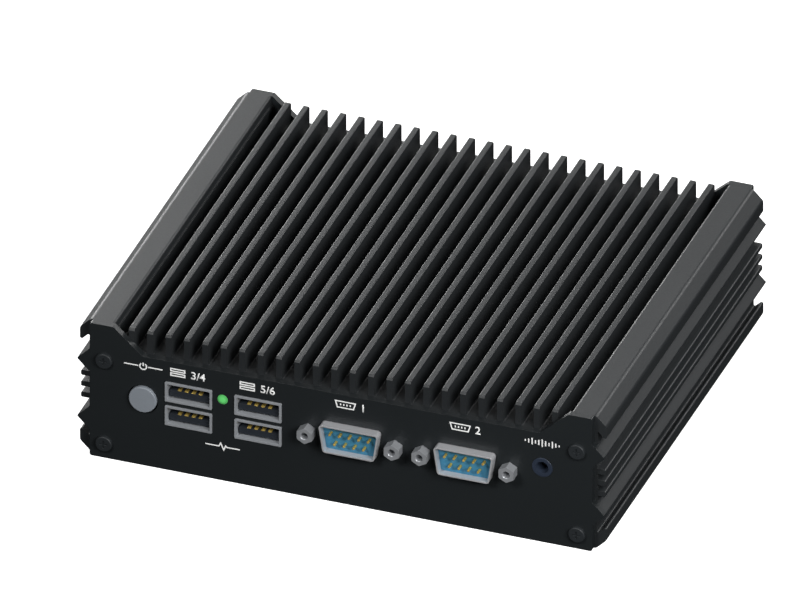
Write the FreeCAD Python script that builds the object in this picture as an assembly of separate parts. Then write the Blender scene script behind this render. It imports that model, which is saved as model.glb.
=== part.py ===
import FreeCAD, Part
import math
import os

# Fanless industrial computer in a finned aluminium extrusion.
# Millimetres; +X to the right of the front panel, +Y from front to rear, +Z up.
# The origin is the middle of the underside.

V = FreeCAD.Vector

# Extrusion: a hooked lobe at each corner, ridges and ribs down each side, fins along the top
BODY_LENGTH = 123.5
HEIGHT = 42.0
LOBE_REACH = 3.5
LOBE_CHAMFER = 3.1
LOBE_LIP = 4.3
LOBE_RADIUS = 1.45
LIP_RADIUS = 0.5
GROOVE_RADIUS = 0.35
WALL_STEP = 0.7
RIDGE_OFFSET = 9.15
RIDGE_HEIGHT = 2.95
RIDGE_RADIUS = 0.4
RIB_COUNT = 3
RIB_PITCH = 3.47
RIB_THICKNESS = 1.6
RIB_REACH = 2.5
RIB_RADIUS = 0.45
SHOULDER_WIDTH = 6.95
SHOULDER_RADIUS = 0.7
LEDGE_DROP = 2.5
LEDGE_WIDTH = 0.35
FIN_COUNT = 24
FIN_THICKNESS = 1.7
FIN_HEIGHT = 6.9
FIN_DROP = 0.7
FIN_TIP_RADIUS = 0.3
FIN_ROOT_RADIUS = 0.5
FIN_END_CUT = 0.45
FIN_END_DROP = 0.65

# Hollow of the extrusion, its screw bosses and the rails that hold the board
ROOF_THICKNESS = 3.0
FLOOR_THICKNESS = 3.0
SIDE_THICKNESS = 3.85
CAVITY_RADIUS = 1.0
BOSS_WALL = 2.0
RAIL_REACH = 2.5
RAIL_THICKNESS = 1.2

# Threaded bracket holes in the underside
BRACKET_THREAD = 3.0
BRACKET_SPACING_X = 75.0
BRACKET_SPACING_Y = 75.0

# End panels
PANEL_WIDTH = 144.3
PANEL_THICKNESS = 2.0
PANEL_FOOT_RADIUS = 0.7
PANEL_TOP_RADIUS = 0.5
PANEL_SHOULDER = 6.8
PANEL_SLOPE = 8.3
PANEL_STEP = 7.5

# Panel screws
SCREW_INSET = 4.25
SCREW_LOW = 4.7
SCREW_HIGH_DROP = 11.0
SCREW_SHANK = 2.5
SCREW_REACH = 8.0
SCREW_HEAD = 4.75
SCREW_HEAD_HEIGHT = 1.0
SCREW_HEAD_RADIUS = 0.4
SCREW_RECESS = 2.3
SCREW_RECESS_WIDTH = 0.5
SCREW_RECESS_DEPTH = 0.25

# Main board
BOARD_DROP = 8.0
BOARD_THICKNESS = 1.6
BOARD_SIDE_GAP = 0.3
BOARD_END_GAP = 0.5
BOARD_SLOT_GAP = 0.2

# Power button and its switch
BUTTON_X = -56.75
BUTTON_RISE = 8.1
BUTTON_DIAMETER = 7.9
BUTTON_PROUD = 0.8
BUTTON_EDGE = 0.35
BUTTON_TRAVEL = 0.8
BUTTON_FLANGE = 10.0
BUTTON_FLANGE_THICKNESS = 0.8
BUTTON_STEM = 3.0
SWITCH_WIDTH = 10.0
SWITCH_DEPTH = 9.0
SWITCH_CROWN = 5.0

# Status light
LED_X = -33.95
LED_RISE = 12.7
LED_DIAMETER = 3.0
LED_PROUD = 0.35
LED_LENGTH = 5.0
LED_HOLDER_WIDTH = 4.6
LED_HOLDER_DEPTH = 6.0

# Stacked bus sockets
STACK_A_X = -43.7
STACK_B_X = -23.75
STACK_REAR_X = -37.0
PORT_WIDTH = 13.5
PORT_HEIGHT = 6.15
PORT_WALL = 0.65
PORT_RADIUS = 0.3
PORT_PROUD = 0.3
PORT_RISE = 4.4
PORT_PITCH = 7.5
STACK_DEPTH = 17.5
PORT_DEPTH = 12.0
TONGUE_WIDTH = 11.7
TONGUE_THICKNESS = 1.84
TONGUE_LIFT = 0.74
TONGUE_SET_BACK = 1.0
PORT_CONTACTS = 4
PORT_CONTACT_PITCH = 2.0
PORT_CONTACT_WIDTH = 1.0
PORT_CONTACT_THICKNESS = 0.25
PORT_CONTACT_LENGTH = 8.0

# Trapezoid connectors: two nine-pin ports in front and a fifteen-hole video port behind
COM1_X = 3.05
COM2_X = 36.0
VIDEO_X = 24.0
DSUB_RISE = 7.95
DSUB_WIDTH = 17.3
DSUB_HEIGHT = 8.5
DSUB_SLANT = 8.5
DSUB_RADIUS = 1.0
DSUB_SHEET = 0.45
DSUB_PROUD = 2.6
DSUB_FLANGE_MARGIN = 2.9
DSUB_FLANGE_HEIGHT = 12.5
DSUB_FLANGE_THICKNESS = 0.8
DSUB_FLANGE_RADIUS = 1.0
DSUB_FACE_DEPTH = 2.0
DSUB_BLOCK_WIDTH = 19.0
DSUB_BLOCK_HEIGHT = 10.6
DSUB_BLOCK_DEPTH = 8.0
PIN_DIAMETER = 0.75
PIN_PITCH = 2.77
PIN_ROW_GAP = 2.84
PIN_TIP_DEPTH = 0.05
PIN_TAIL = 1.0
PIN_LEG = 0.6
VIDEO_PITCH = 2.29
VIDEO_ROW_GAP = 1.98
VIDEO_HOLE = 1.1
VIDEO_FACE_DEPTH = 0.6
JACKSCREW_SPACING = 25.0
JACKSCREW_FLATS = 4.3
JACKSCREW_PROUD = 3.0
JACKSCREW_CHAMFER = 0.1
JACKSCREW_BORE = 2.0
JACKSCREW_BORE_DEPTH = 4.5
JACKSCREW_SINK = 2.3
JACKSCREW_SHANK = 3.0
JACKSCREW_REACH = 6.0

# Audio jack
AUDIO_X = 57.85
AUDIO_RISE = 10.7
AUDIO_RING = 5.9
AUDIO_BORE = 3.6
AUDIO_PROUD = 0.15
AUDIO_EDGE = 0.1
AUDIO_WIDTH = 11.5
AUDIO_DEPTH = 12.0
AUDIO_CROWN = 4.2
AUDIO_CONTACT_DIAMETER = 4.6
AUDIO_CONTACT_LENGTH = 3.0
AUDIO_CONTACT_START = 4.0

# Network jack
LAN_X = -9.0
LAN_WIDTH = 16.0
LAN_HEIGHT = 13.4
LAN_DEPTH = 21.0
LAN_SHEET = 0.4
LAN_PROUD = 0.3
LAN_PLUG_WIDTH = 11.8
LAN_PLUG_HEIGHT = 6.8
LAN_PLUG_LIFT = 4.4
LAN_PLUG_DEPTH = 14.0
LAN_LATCH_WIDTH = 6.2
LAN_LATCH_HEIGHT = 2.2
LAN_CONTACTS = 8
LAN_CONTACT_PITCH = 1.02
LAN_CONTACT_WIDTH = 0.5
LAN_CONTACT_DROP = 1.7
LAN_CONTACT_START = 5.0

# Power inlet
INLET_X = 56.0
INLET_RISE = 6.6
INLET_WIDTH = 11.0
INLET_CROWN = 5.5
INLET_DEPTH = 14.0
INLET_MOUTH = 9.0
INLET_PROUD = 0.3
INLET_BORE = 6.3
INLET_BORE_DEPTH = 9.5
INLET_PIN = 2.5
INLET_PIN_DEPTH = 1.0

# Processor, pad, heat spreader and its spacers
PROCESSOR_WIDTH = 28.0
PROCESSOR_LENGTH = 24.0
PROCESSOR_THICKNESS = 1.2
DIE_WIDTH = 12.0
DIE_LENGTH = 9.0
DIE_THICKNESS = 0.8
PAD_THICKNESS = 0.6
PAD_MARGIN = 1.0
SPREADER_SIZE = 52.0
SPREADER_THICKNESS = 6.0
PEDESTAL_SIZE = 20.0
SPACER_INSET = 5.0
SPACER_FLATS = 5.5
SPACER_SHANK = 2.5
SPACER_HEAD = 5.0
SPACER_HEAD_HEIGHT = 1.8
SPACER_SCREW_REACH = 6.0

# Memory module in its socket
MEMORY_X = -50.0
MEMORY_Y = -3.0
MEMORY_LENGTH = 67.6
MEMORY_WIDTH = 30.0
MEMORY_THICKNESS = 1.0
MEMORY_LIFT = 3.2
MEMORY_SOCKET_LENGTH = 72.0
MEMORY_SOCKET_WIDTH = 6.0
MEMORY_SOCKET_HEIGHT = 5.2
MEMORY_INSERT = 4.0
MEMORY_CHIPS = 4
MEMORY_CHIP_WIDTH = 8.0
MEMORY_CHIP_LENGTH = 11.0
MEMORY_CHIP_THICKNESS = 1.0

# Storage module in its socket, held down by a screw on a spacer
STORAGE_X = 44.0
STORAGE_Y = -3.0
STORAGE_LENGTH = 80.0
STORAGE_WIDTH = 22.0
STORAGE_THICKNESS = 0.8
STORAGE_LIFT = 2.4
STORAGE_SOCKET_DEPTH = 8.0
STORAGE_SOCKET_HEIGHT = 4.2
STORAGE_INSERT = 4.0
STORAGE_CHIPS = 3
STORAGE_CHIP_SIZE = 13.0
STORAGE_CHIP_THICKNESS = 1.2
STORAGE_SPACER = 5.0
STORAGE_SCREW_HEAD = 4.6
STORAGE_SCREW_HEAD_HEIGHT = 0.9
STORAGE_SCREW_SHANK = 2.0

# Clock cell in its holder
CELL_X = 10.0
CELL_Y = -34.2
CELL_DIAMETER = 20.0
CELL_THICKNESS = 3.2
CELL_HOLDER_WALL = 1.2
CELL_HOLDER_FLOOR = 0.8
CELL_HOLDER_HEIGHT = 3.2
CELL_GAP = 0.15

# Chokes of the power supply
CHOKE_X = 60.5
CHOKE_Y = 30.0
CHOKE_COUNT = 3
CHOKE_PITCH = 9.0
CHOKE_SIZE = 7.0
CHOKE_HEIGHT = 4.0
CHOKE_RADIUS = 1.0

# Clearances, each on one side
THREAD_GAP = 0.05
HOLE_GAP = 0.2
CUTOUT_GAP = 0.15
BUTTON_GAP = 0.4
SEAT_GAP = 0.05

# Places that follow from the sizes above
PANEL_SIDE = PANEL_WIDTH / 2
WALL_X = PANEL_SIDE + WALL_STEP
LOBE_X = PANEL_SIDE + LOBE_REACH
SHOULDER_X = LOBE_X - LOBE_CHAMFER - SHOULDER_WIDTH
LEDGE_X = SHOULDER_X - LEDGE_WIDTH
FIN_TOP = HEIGHT - FIN_DROP
FIN_FLOOR = FIN_TOP - FIN_HEIGHT
FIN_PITCH = (2 * LEDGE_X + FIN_THICKNESS) / (FIN_COUNT + 1)
CAVITY_X = WALL_X - SIDE_THICKNESS
CAVITY_TOP = FIN_FLOOR - ROOF_THICKNESS
BODY_HALF = BODY_LENGTH / 2
FACE_Y = BODY_HALF + PANEL_THICKNESS
SCREW_X = PANEL_SIDE - SCREW_INSET
SCREW_HIGH = HEIGHT - SCREW_HIGH_DROP
BOARD_TOP = HEIGHT / 2 - BOARD_DROP
BOARD_BOTTOM = BOARD_TOP - BOARD_THICKNESS
BOARD_X = CAVITY_X - BOARD_SIDE_GAP
BOARD_HALF = BODY_HALF - BOARD_END_GAP
DSUB_Z = BOARD_TOP + DSUB_RISE
DSUB_FLANGE_WIDTH = JACKSCREW_SPACING + 2 * DSUB_FLANGE_MARGIN
PORT_ROWS = [BOARD_TOP + PORT_RISE, BOARD_TOP + PORT_RISE + PORT_PITCH]
SLANT = math.tan(math.radians(DSUB_SLANT))
TINY = 0.01


def save(name, solids):
    """Writes one node: a solid, or several equal ones as a group."""
    shape = Part.makeCompound(solids) if isinstance(solids, list) else solids
    shape.exportStep("parts/" + name + ".step")


def block(x0, x1, y0, y1, z0, z1):
    return Part.makeBox(x1 - x0, y1 - y0, z1 - z0, V(x0, y0, z0))


def rod_y(diameter, x, z, y0, y1):
    """Round bar along Y."""
    return Part.makeCylinder(diameter / 2, y1 - y0, V(x, y0, z), V(0, 1, 0))


def rod_z(diameter, x, y, z0, z1):
    """Round bar along Z."""
    return Part.makeCylinder(diameter / 2, z1 - z0, V(x, y, z0), V(0, 0, 1))


def rounded_wire(corners):
    """Closed wire in the XZ plane through (x, z, radius) corners, each rounded by a tangent arc."""
    points = [V(x, 0, z) for x, z, radius in corners]
    arcs = []
    for index, (x, z, radius) in enumerate(corners):
        corner = points[index]
        back = (points[index - 1] - corner).normalize()
        ahead = (points[(index + 1) % len(points)] - corner).normalize()
        if radius <= 0:
            arcs.append((corner, None, corner))
            continue
        half = back.getAngle(ahead) / 2
        inward = (back + ahead).normalize()
        centre = corner + inward * (radius / math.sin(half))
        reach = radius / math.tan(half)
        arcs.append((corner + back * reach, centre - inward * radius, corner + ahead * reach))
    edges = []
    for index, (start, middle, end) in enumerate(arcs):
        if middle is not None:
            edges.append(Part.Arc(start, middle, end).toShape())
        following = arcs[(index + 1) % len(arcs)][0]
        if end.distanceToPoint(following) > TINY:
            edges.append(Part.makeLine(end, following))
    return Part.Wire(Part.__sortEdges__(edges))


def plate(corners, y0, y1):
    """Rounded outline in the XZ plane, drawn out from y0 to y1."""
    solid = Part.Face(rounded_wire(corners)).extrude(V(0, y1 - y0, 0))
    solid.translate(V(0, y0, 0))
    return solid


def mirrored(corners):
    """The given right-hand corners, followed by their mirror images in reverse order."""
    return corners + [(-x, z, radius) for x, z, radius in reversed(corners)]


def rounded_box(x, z, width, height, radius, y0, y1):
    """Bar along Y of rounded rectangular section, centred on x and z."""
    left, right = x - width / 2, x + width / 2
    low, high = z - height / 2, z + height / 2
    section = [(left, low, radius), (right, low, radius), (right, high, radius), (left, high, radius)]
    return plate(section, y0, y1)


def front_rims(shape):
    """Edges that lie whole in the shape's foremost plane."""
    front = shape.BoundBox.YMin
    return [edge for edge in shape.Edges if edge.BoundBox.YMax < front + TINY]


def hex_bar(flats, x, z, y0, y1):
    """Hexagonal bar along Y with a point upwards."""
    reach = flats / math.sqrt(3)
    angles = [math.radians(30 + 60 * side) for side in range(6)]
    section = [(x + reach * math.cos(turn), z + reach * math.sin(turn), 0) for turn in angles]
    return plate(section, y0, y1)


def at_port(shape, x, rear=False):
    """Moves a connector built at the origin, facing -Y, to its place in the front or rear panel."""
    moved = shape.copy()
    if rear:
        moved.rotate(V(0, 0, 0), V(0, 0, 1), 180)
    moved.translate(V(x, FACE_Y if rear else -FACE_Y, 0))
    return moved


# Enclosure

def lower_side():
    """Corners of the lower half of one side: hooked lobe, then the ridge, from the bottom up."""
    lip = LOBE_CHAMFER + LOBE_LIP
    ridge = HEIGHT / 2 - RIDGE_OFFSET
    return [
        (LOBE_X - LOBE_CHAMFER, 0, LOBE_RADIUS),
        (LOBE_X, LOBE_CHAMFER, LOBE_RADIUS),
        (LOBE_X, lip, LIP_RADIUS),
        (WALL_X, lip - (LOBE_X - WALL_X), GROOVE_RADIUS),
        (WALL_X, ridge - RIDGE_HEIGHT, 0),
        (WALL_X + RIDGE_HEIGHT, ridge, RIDGE_RADIUS),
        (WALL_X, ridge + RIDGE_HEIGHT, 0),
    ]


def side_ribs():
    """Corners of the small ribs about the middle of one side, from the bottom up."""
    corners = []
    for index in range(RIB_COUNT):
        z = HEIGHT / 2 + (index - (RIB_COUNT - 1) / 2) * RIB_PITCH
        low, high = z - RIB_THICKNESS / 2, z + RIB_THICKNESS / 2
        tip = WALL_X + RIB_REACH
        corners += [(WALL_X, low, 0), (tip, low, RIB_RADIUS), (tip, high, RIB_RADIUS), (WALL_X, high, 0)]
    return corners


def fin_corners():
    """Corners of all fins and the channels between them, from right to left."""
    corners = []
    for index in range(FIN_COUNT):
        x = ((FIN_COUNT - 1) / 2 - index) * FIN_PITCH
        right, left = x + FIN_THICKNESS / 2, x - FIN_THICKNESS / 2
        corners += [
            (right, FIN_FLOOR, FIN_ROOT_RADIUS),
            (right, FIN_TOP, FIN_TIP_RADIUS),
            (left, FIN_TOP, FIN_TIP_RADIUS),
            (left, FIN_FLOOR, FIN_ROOT_RADIUS),
        ]
    return corners


def extrusion_outline():
    """Whole outer section of the extrusion, anticlockwise from the lower right."""
    lower = lower_side()
    upper = [(x, HEIGHT - z, radius) for x, z, radius in reversed(lower)]
    shoulder = [
        (SHOULDER_X, HEIGHT, SHOULDER_RADIUS),
        (SHOULDER_X, HEIGHT - LEDGE_DROP, 0),
        (LEDGE_X, HEIGHT - LEDGE_DROP, 0),
        (LEDGE_X, FIN_FLOOR, FIN_ROOT_RADIUS),
    ]
    right = lower + side_ribs() + upper + shoulder
    left = [(-x, z, radius) for x, z, radius in reversed(right)]
    return right + fin_corners() + left


def screw_places():
    return [(side * SCREW_X, z) for side in (-1, 1) for z in (SCREW_LOW, SCREW_HIGH)]


def cavity():
    """Hollow of the extrusion, less the screw bosses and the board's rails."""
    centre = (FLOOR_THICKNESS + CAVITY_TOP) / 2
    height = CAVITY_TOP - FLOOR_THICKNESS
    hollow = rounded_box(0, centre, 2 * CAVITY_X, height, CAVITY_RADIUS, -BODY_HALF, BODY_HALF)
    boss = SCREW_SHANK + 2 * THREAD_GAP + 2 * BOSS_WALL
    kept = [rod_y(boss, x, z, -BODY_HALF, BODY_HALF) for x, z in screw_places()]
    slot_top = BOARD_TOP + BOARD_SLOT_GAP
    for side in (-1, 1):
        inner, outer = sorted((side * (CAVITY_X - RAIL_REACH), side * (CAVITY_X + TINY)))
        for low in (BOARD_BOTTOM - RAIL_THICKNESS, slot_top):
            kept.append(block(inner, outer, -BODY_HALF, BODY_HALF, low, low + RAIL_THICKNESS))
    return hollow.cut(kept)


def bracket_places():
    return [(sx * BRACKET_SPACING_X / 2, sy * BRACKET_SPACING_Y / 2) for sx in (-1, 1) for sy in (-1, 1)]


def fin_end_cuts():
    """Wedges that slope the top of every fin at both its ends."""
    wedges = []
    for side in (-1, 1):
        end = side * BODY_HALF
        section = Part.makePolygon([
            V(-LEDGE_X, end, FIN_TOP - FIN_END_DROP),
            V(-LEDGE_X, end - side * FIN_END_CUT, FIN_TOP),
            V(-LEDGE_X, end, FIN_TOP),
            V(-LEDGE_X, end, FIN_TOP - FIN_END_DROP),
        ])
        wedges.append(Part.Face(section).extrude(V(2 * LEDGE_X, 0, 0)))
    return wedges


def enclosure_body():
    """Finned tube with screw bosses, board rails and four threaded holes in its floor."""
    tube = plate(extrusion_outline(), -BODY_HALF, BODY_HALF)
    bore = SCREW_SHANK + 2 * THREAD_GAP
    cuts = [cavity()] + fin_end_cuts()
    cuts += [rod_y(bore, x, z, -BODY_HALF, BODY_HALF) for x, z in screw_places()]
    cuts += [rod_z(BRACKET_THREAD, x, y, -TINY, FLOOR_THICKNESS + TINY) for x, y in bracket_places()]
    return tube.cut(cuts)


def panel_blank():
    """End plate: pointed ears beside the ridges, high shoulders and a low step across the fins."""
    ridge = HEIGHT / 2 - RIDGE_OFFSET
    ear = WALL_STEP + RIDGE_HEIGHT
    step_z = HEIGHT - PANEL_STEP
    shoulder = PANEL_SIDE - PANEL_SHOULDER
    right = [(PANEL_SIDE, 0, PANEL_FOOT_RADIUS)]
    for z in (ridge, HEIGHT - ridge):
        right += [(PANEL_SIDE, z - ear, 0), (PANEL_SIDE + ear, z, RIDGE_RADIUS), (PANEL_SIDE, z + ear, 0)]
    right += [
        (PANEL_SIDE, HEIGHT, PANEL_TOP_RADIUS),
        (shoulder, HEIGHT, PANEL_TOP_RADIUS),
        (shoulder - PANEL_SLOPE, step_z, 0),
    ]
    holes = [rod_y(SCREW_SHANK + 2 * HOLE_GAP, x, z, 0, PANEL_THICKNESS) for x, z in screw_places()]
    return plate(mirrored(right), 0, PANEL_THICKNESS).cut(holes)


def panel_screw():
    """Pan-headed screw with a cross recess, under the head at y = 0 and its head towards -Y."""
    head = rod_y(SCREW_HEAD, 0, 0, -SCREW_HEAD_HEIGHT, 0)
    head = head.makeFillet(SCREW_HEAD_RADIUS, front_rims(head))
    shank = rod_y(SCREW_SHANK, 0, 0, 0, PANEL_THICKNESS + SCREW_REACH)
    half, arm = SCREW_RECESS_WIDTH / 2, SCREW_RECESS / 2
    floor = SCREW_RECESS_DEPTH - SCREW_HEAD_HEIGHT
    cross = [
        block(-arm, arm, -SCREW_HEAD_HEIGHT, floor, -half, half),
        block(-half, half, -SCREW_HEAD_HEIGHT, floor, -arm, arm),
    ]
    return head.fuse(shank).cut(cross)


def panel_screws(rear):
    screws = []
    for x, z in screw_places():
        screw = panel_screw()
        screw.translate(V(0, 0, z))
        screws.append(at_port(screw, x, rear))
    return screws


# Power button and status light

def button_cap():
    """Round cap with a softened edge, a flange behind the panel and a stem into the switch."""
    z = BOARD_TOP + BUTTON_RISE
    cap = rod_y(BUTTON_DIAMETER, 0, z, -BUTTON_PROUD, PANEL_THICKNESS + BUTTON_GAP)
    cap = cap.makeFillet(BUTTON_EDGE, front_rims(cap))
    flange_y = PANEL_THICKNESS + BUTTON_GAP
    flange_end = flange_y + BUTTON_FLANGE_THICKNESS
    stem_end = flange_end + 2 * (BUTTON_TRAVEL + BUTTON_GAP)
    flange = rod_y(BUTTON_FLANGE, 0, z, flange_y, flange_end)
    return cap.fuse([flange, rod_y(BUTTON_STEM, 0, z, flange_end, stem_end)])


def power_switch():
    """Switch body on the board behind the cap, hollow where the stem travels."""
    z = BOARD_TOP + BUTTON_RISE
    flange_end = PANEL_THICKNESS + BUTTON_GAP + BUTTON_FLANGE_THICKNESS
    front = flange_end + BUTTON_TRAVEL + BUTTON_GAP
    hole_end = flange_end + 2 * (BUTTON_TRAVEL + BUTTON_GAP) + BUTTON_TRAVEL + BUTTON_GAP
    half = SWITCH_WIDTH / 2
    body = block(-half, half, front, front + SWITCH_DEPTH, BOARD_TOP, z + SWITCH_CROWN)
    return body.cut(rod_y(BUTTON_STEM + 2 * BUTTON_GAP, 0, z, front, hole_end))


def status_led():
    """Round light with a domed front, seated in its holder."""
    z = BOARD_TOP + LED_RISE
    radius = LED_DIAMETER / 2
    dome = (radius ** 2 + LED_PROUD ** 2) / (2 * LED_PROUD)
    lens = Part.makeSphere(dome, V(0, dome - LED_PROUD, z))
    body = rod_y(LED_DIAMETER, 0, z, 0, LED_LENGTH)
    return lens.common(rod_y(LED_DIAMETER, 0, z, -LED_PROUD, 0)).fuse(body)


def led_holder():
    """Post on the board with a cup for the light."""
    z = BOARD_TOP + LED_RISE
    half = LED_HOLDER_WIDTH / 2
    end = PANEL_THICKNESS + LED_HOLDER_DEPTH
    post = block(-half, half, PANEL_THICKNESS, end, BOARD_TOP, z + half)
    return post.cut(rod_y(LED_DIAMETER + 2 * SEAT_GAP, 0, z, PANEL_THICKNESS, LED_LENGTH))


# Stacked bus sockets

def stack_shell():
    """Sheet shell of two sockets, one above the other, with their mouths through the panel."""
    top = PORT_ROWS[-1] + PORT_HEIGHT / 2
    half = PORT_WIDTH / 2
    inner = half - PORT_WALL
    end = PANEL_THICKNESS + STACK_DEPTH
    body = block(-half, half, PANEL_THICKNESS, end, BOARD_TOP, top)
    mouths = []
    hollows = []
    for z in PORT_ROWS:
        mouths.append(rounded_box(0, z, PORT_WIDTH, PORT_HEIGHT, PORT_RADIUS, -PORT_PROUD, PANEL_THICKNESS))
        height = PORT_HEIGHT - 2 * PORT_WALL
        hollows.append(rounded_box(0, z, 2 * inner, height, PORT_RADIUS, -PORT_PROUD, PORT_DEPTH))
    low = PORT_ROWS[0] - PORT_HEIGHT / 2 + PORT_WALL
    hollows.append(block(-inner, inner, PORT_DEPTH, end, low, top - PORT_WALL))
    return body.fuse(mouths).cut(hollows)


def tongue_bottom(z):
    return z - PORT_HEIGHT / 2 + PORT_WALL + TONGUE_LIFT


def stack_core():
    """Moulded core behind both sockets, with a tongue in each."""
    inner = PORT_WIDTH / 2 - PORT_WALL
    low = PORT_ROWS[0] - PORT_HEIGHT / 2 + PORT_WALL
    high = PORT_ROWS[-1] + PORT_HEIGHT / 2 - PORT_WALL
    core = block(-inner, inner, PORT_DEPTH, PANEL_THICKNESS + STACK_DEPTH, low, high)
    tongues = []
    for z in PORT_ROWS:
        bottom = tongue_bottom(z)
        front = TONGUE_SET_BACK - PORT_PROUD
        half = TONGUE_WIDTH / 2
        tongues.append(block(-half, half, front, PORT_DEPTH, bottom, bottom + TONGUE_THICKNESS))
    return core.fuse(tongues)


def stack_contacts():
    """Contact strips along the top of each tongue, their front ends sloped."""
    strips = []
    front = TONGUE_SET_BACK - PORT_PROUD + PORT_CONTACT_THICKNESS
    for z in PORT_ROWS:
        top = tongue_bottom(z) + TONGUE_THICKNESS
        for index in range(PORT_CONTACTS):
            x = (index - (PORT_CONTACTS - 1) / 2) * PORT_CONTACT_PITCH - PORT_CONTACT_WIDTH / 2
            section = Part.makePolygon([
                V(x, front, top),
                V(x, front + PORT_CONTACT_LENGTH, top),
                V(x, front + PORT_CONTACT_LENGTH, top + PORT_CONTACT_THICKNESS),
                V(x, front + 2 * PORT_CONTACT_THICKNESS, top + PORT_CONTACT_THICKNESS),
                V(x, front, top),
            ])
            strips.append(Part.Face(section).extrude(V(PORT_CONTACT_WIDTH, 0, 0)))
    return strips


def stack_cutouts():
    gap = 2 * CUTOUT_GAP
    width, height = PORT_WIDTH + gap, PORT_HEIGHT + gap
    return [rounded_box(0, z, width, height, PORT_RADIUS, 0, PANEL_THICKNESS) for z in PORT_ROWS]


# Trapezoid connectors

def dsub_section(inset):
    """Corners of the trapezoid, wide side up, moved inwards by inset on all four sides."""
    lean = inset / math.cos(math.radians(DSUB_SLANT))
    top, bottom = DSUB_HEIGHT / 2 - inset, inset - DSUB_HEIGHT / 2
    radius = max(DSUB_RADIUS - inset, TINY)
    wide = DSUB_WIDTH / 2 - inset * SLANT - lean
    narrow = DSUB_WIDTH / 2 - (DSUB_HEIGHT - inset) * SLANT - lean
    return mirrored([(narrow, DSUB_Z + bottom, radius), (wide, DSUB_Z + top, radius)])


def jackscrew_places():
    return [side * JACKSCREW_SPACING / 2 for side in (-1, 1)]


def dsub_shell():
    """Drawn sheet shell standing on its flange behind the panel."""
    end = PANEL_THICKNESS + DSUB_FLANGE_THICKNESS
    flange = rounded_box(0, DSUB_Z, DSUB_FLANGE_WIDTH, DSUB_FLANGE_HEIGHT, DSUB_FLANGE_RADIUS,
                         PANEL_THICKNESS, end)
    tube = plate(dsub_section(0), -DSUB_PROUD, end)
    bore = JACKSCREW_SHANK + 2 * HOLE_GAP
    holes = [rod_y(bore, x, DSUB_Z, PANEL_THICKNESS, end) for x in jackscrew_places()]
    return flange.fuse(tube).cut([plate(dsub_section(DSUB_SHEET), -DSUB_PROUD, end)] + holes)


def pin_places():
    """Five pins in the upper row and four below, as (x, z, row)."""
    upper = [((index - 2) * PIN_PITCH, DSUB_Z + PIN_ROW_GAP / 2, 0) for index in range(5)]
    lower = [((index - 1.5) * PIN_PITCH, DSUB_Z - PIN_ROW_GAP / 2, 1) for index in range(4)]
    return upper + lower


def video_places():
    """Three rows of five holes, the middle row moved sideways by half a pitch, as (x, z, row)."""
    places = []
    for row in range(3):
        shift = -VIDEO_PITCH / 4 if row == 1 else VIDEO_PITCH / 4
        z = DSUB_Z + (1 - row) * VIDEO_ROW_GAP
        places += [((index - 2) * VIDEO_PITCH + shift, z, row) for index in range(5)]
    return places


def leg_y(row):
    """Where the leg of a pin in this row goes down behind the moulding."""
    block_end = PANEL_THICKNESS + DSUB_FLANGE_THICKNESS + DSUB_BLOCK_DEPTH
    return block_end + PIN_TAIL + (2 - row) * PIN_ROW_GAP


def dsub_moulding(places, face_depth, hole):
    """Moulding that fills the shell up to its face, with a block down to the board behind."""
    flange_end = PANEL_THICKNESS + DSUB_FLANGE_THICKNESS
    face = plate(dsub_section(DSUB_SHEET + SEAT_GAP), face_depth - DSUB_PROUD, flange_end)
    end = flange_end + DSUB_BLOCK_DEPTH
    half = DSUB_BLOCK_WIDTH / 2
    body = block(-half, half, flange_end, end, BOARD_TOP, DSUB_Z + DSUB_BLOCK_HEIGHT / 2)
    sides = []
    for x in jackscrew_places():
        bore = rod_y(JACKSCREW_SHANK + 2 * THREAD_GAP, x, DSUB_Z, flange_end, end)
        bridge_end = flange_end + JACKSCREW_REACH / 2
        inner, outer = sorted((x / abs(x) * half, x + x / abs(x) * JACKSCREW_SHANK))
        arm = block(inner, outer, flange_end, bridge_end, BOARD_TOP, DSUB_Z + JACKSCREW_SHANK)
        sides.append(arm.cut(bore))
    holes = [rod_y(hole, x, z, -DSUB_PROUD, end) for x, z, row in places]
    return face.fuse([body] + sides).cut(holes)


def dsub_pins():
    """Round pins with pointed tips and square legs down to the board."""
    pins = []
    radius = PIN_DIAMETER / 2
    for x, z, row in pin_places():
        start = PIN_TIP_DEPTH - DSUB_PROUD
        tip = Part.makeCone(radius / 2, radius, radius, V(x, start, z), V(0, 1, 0))
        rear = leg_y(row)
        half = PIN_LEG / 2
        shaft = rod_y(PIN_DIAMETER, x, z, start + radius, rear)
        leg = block(x - half, x + half, rear - PIN_LEG, rear, BOARD_TOP, z)
        pins.append(tip.fuse([shaft, leg]))
    return pins


def video_contacts():
    """Spring sockets inside the holes of the video port, each with a leg to the board."""
    contacts = []
    half = PIN_LEG / 2
    for x, z, row in video_places():
        rear = leg_y(row)
        outer = VIDEO_HOLE - 2 * SEAT_GAP
        start = VIDEO_FACE_DEPTH + VIDEO_HOLE - DSUB_PROUD
        socket = rod_y(outer, x, z, start, rear)
        leg = block(x - half, x + half, rear - PIN_LEG, rear, BOARD_TOP, z)
        contacts.append(socket.fuse(leg).cut(rod_y(outer / 2, x, z, start, 0)))
    return contacts


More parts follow.
